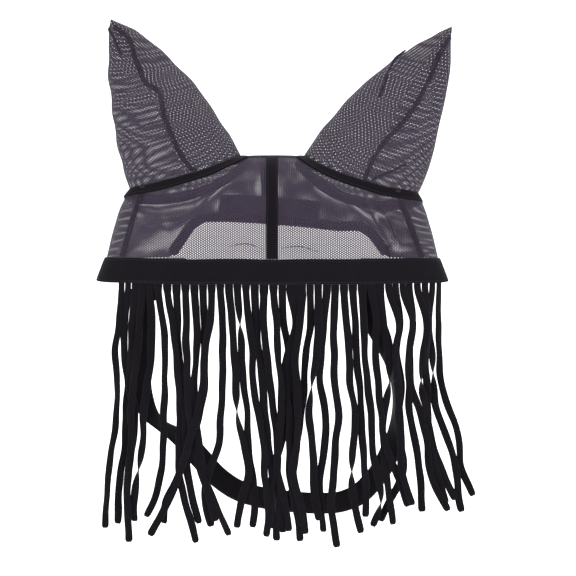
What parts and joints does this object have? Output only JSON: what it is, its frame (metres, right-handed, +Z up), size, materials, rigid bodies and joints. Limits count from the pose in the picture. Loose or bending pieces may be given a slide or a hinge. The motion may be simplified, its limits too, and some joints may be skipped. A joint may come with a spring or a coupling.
{
  "type": "fly mask",
  "caption": "Horse's fly mask: a mesh bonnet with closed ear pockets, a fringed browband and an elastic throat strap with a hook and loop closure.",
  "frame": {"origin": "middle of the poll crest, where the bonnet sits on the head between the ears", "axes": "+Z up as worn, towards the ear tips; the fringed forehead side faces -Y and the nape side +Y; +X towards the horse's left ear, at the right of someone facing the forehead side"},
  "size_m": [0.408, 0.1028, 0.5728],
  "materials": {
    "fly_mesh": "open knitted polyester mesh, matt",
    "fringe_cloth": "slit knitted cloth, matt",
    "elastic_webbing": "ribbed elastic, matt",
    "hook_tape": "moulded hooks",
    "loop_tape": "brushed loops",
    "browband_tape": "ribbed woven tape, matt",
    "seam_allowance": "folded mesh, stitched",
    "patch_webbing": "plain woven tape, matt",
    "binding_tape": "ribbed binding tape, matt"
  },
  "bodies": {
    "bonnet": {"browband_face": "browband_tape", "browband_lining": "browband_tape", "front_mesh_left": "fly_mesh", "front_mesh_right": "fly_mesh", "rear_mesh_left": "fly_mesh", "rear_mesh_right": "fly_mesh", "ear_left_binding": "binding_tape", "ear_right_binding": "binding_tape", "rear_hem": "binding_tape", "poll_seam": "seam_allowance", "front_centre_tape": "binding_tape", "rear_centre_tape": "binding_tape", "poll_patch": "patch_webbing", "side_seam_left": "seam_allowance", "side_seam_right": "seam_allowance", "ear_left_cuff": "fly_mesh", "ear_right_cuff": "fly_mesh", "strap_anchor_left": "elastic_webbing", "strap_anchor_right": "elastic_webbing"},
    "ear_left": {"ear_left_pocket": "fly_mesh", "ear_left_seam": "seam_allowance"},
    "ear_right": {"ear_right_pocket": "fly_mesh", "ear_right_seam": "seam_allowance"},
    "fringe_lock_01": {"fringe_lock_01": "fringe_cloth"},
    "fringe_lock_02": {"fringe_lock_02": "fringe_cloth"},
    "fringe_lock_03": {"fringe_lock_03": "fringe_cloth"},
    "fringe_lock_04": {"fringe_lock_04": "fringe_cloth"},
    "fringe_lock_05": {"fringe_lock_05": "fringe_cloth"},
    "fringe_lock_06": {"fringe_lock_06": "fringe_cloth"},
    "fringe_lock_07": {"fringe_lock_07": "fringe_cloth"},
    "fringe_lock_08": {"fringe_lock_08": "fringe_cloth"},
    "fringe_lock_09": {"fringe_lock_09": "fringe_cloth"},
    "fringe_lock_10": {"fringe_lock_10": "fringe_cloth"},
    "strap_root": {"strap_tab_left": "elastic_webbing"},
    "strap_loop": {"throat_strap": "elastic_webbing", "hook_patch": "hook_tape"},
    "closure_tab": {"strap_tab_right": "elastic_webbing", "loop_patch": "loop_tape"}
  },
  "joints": [
    {"name": "ear_left_fold", "type": "hinge", "parent": "bonnet", "child": "ear_left", "pos_m": [-0.10334, 0, 0.01019], "axis": [0.9564, 0, 0.2921], "range_deg": [-30, 30], "stiffness_Nm_per_rad": 0.12},
    {"name": "ear_right_fold", "type": "hinge", "parent": "bonnet", "child": "ear_right", "pos_m": [0.10178, 0, 0.00718], "axis": [0.9393, 0, -0.3431], "range_deg": [-30, 30], "stiffness_Nm_per_rad": 0.12},
    {"name": "fringe_lock_01_swing", "type": "hinge", "parent": "bonnet", "child": "fringe_lock_01", "pos_m": [-0.15386, -0.03124, -0.1408], "axis": [-0.948, 0.3184, 0], "range_deg": [-2, 75]},
    {"name": "fringe_lock_02_swing", "type": "hinge", "parent": "bonnet", "child": "fringe_lock_02", "pos_m": [-0.11861, -0.04039, -0.1408], "axis": [-0.9805, 0.1964, 0], "range_deg": [-2, 75]},
    {"name": "fringe_lock_03_swing", "type": "hinge", "parent": "bonnet", "child": "fringe_lock_03", "pos_m": [-0.08246, -0.04612, -0.1408], "axis": [-0.9926, 0.1211, 0], "range_deg": [-2, 75]},
    {"name": "fringe_lock_04_swing", "type": "hinge", "parent": "bonnet", "child": "fringe_lock_04", "pos_m": [-0.04605, -0.04946, -0.1408], "axis": [-0.998, 0.0634, 0], "range_deg": [-2, 75]},
    {"name": "fringe_lock_05_swing", "type": "hinge", "parent": "bonnet", "child": "fringe_lock_05", "pos_m": [-0.00946, -0.05084, -0.1408], "axis": [-0.9999, 0.0127, 0], "range_deg": [-2, 75]},
    {"name": "fringe_lock_06_swing", "type": "hinge", "parent": "bonnet", "child": "fringe_lock_06", "pos_m": [0.02714, -0.0504, -0.1408], "axis": [-0.9993, -0.0367, 0], "range_deg": [-2, 75]},
    {"name": "fringe_lock_07_swing", "type": "hinge", "parent": "bonnet", "child": "fringe_lock_07", "pos_m": [0.06364, -0.04811, -0.1408], "axis": [-0.996, -0.0898, 0], "range_deg": [-2, 75]},
    {"name": "fringe_lock_08_swing", "type": "hinge", "parent": "bonnet", "child": "fringe_lock_08", "pos_m": [0.09996, -0.0437, -0.1408], "axis": [-0.988, -0.1542, 0], "range_deg": [-2, 75]},
    {"name": "fringe_lock_09_swing", "type": "hinge", "parent": "bonnet", "child": "fringe_lock_09", "pos_m": [0.13575, -0.03652, -0.1408], "axis": [-0.9693, -0.2457, 0], "range_deg": [-2, 75]},
    {"name": "fringe_lock_10_swing", "type": "hinge", "parent": "bonnet", "child": "fringe_lock_10", "pos_m": [0.17011, -0.02484, -0.1408], "axis": [-0.906, -0.4232, 0], "range_deg": [-2, 75]},
    {"name": "strap_swing", "type": "hinge", "parent": "bonnet", "child": "strap_root", "pos_m": [-0.147, 0.0355, -0.1408], "axis": [1, 0, 0], "range_deg": [-2, 60]},
    {"name": "closure_tab_swing", "type": "hinge", "parent": "bonnet", "child": "closure_tab", "pos_m": [0.1155, 0.0355, -0.1408], "axis": [1, 0, 0], "range_deg": [-2, 60]},
    {"name": "strap_open", "type": "hinge", "parent": "strap_root", "child": "strap_loop", "pos_m": [-0.147, 0.0359, -0.158], "axis": [0, 1, 0], "range_deg": [0, 70]}
  ],
  "couplings": [
    {"joint": "closure_tab_swing", "follows": "strap_swing", "ratio": 1}
  ]
}
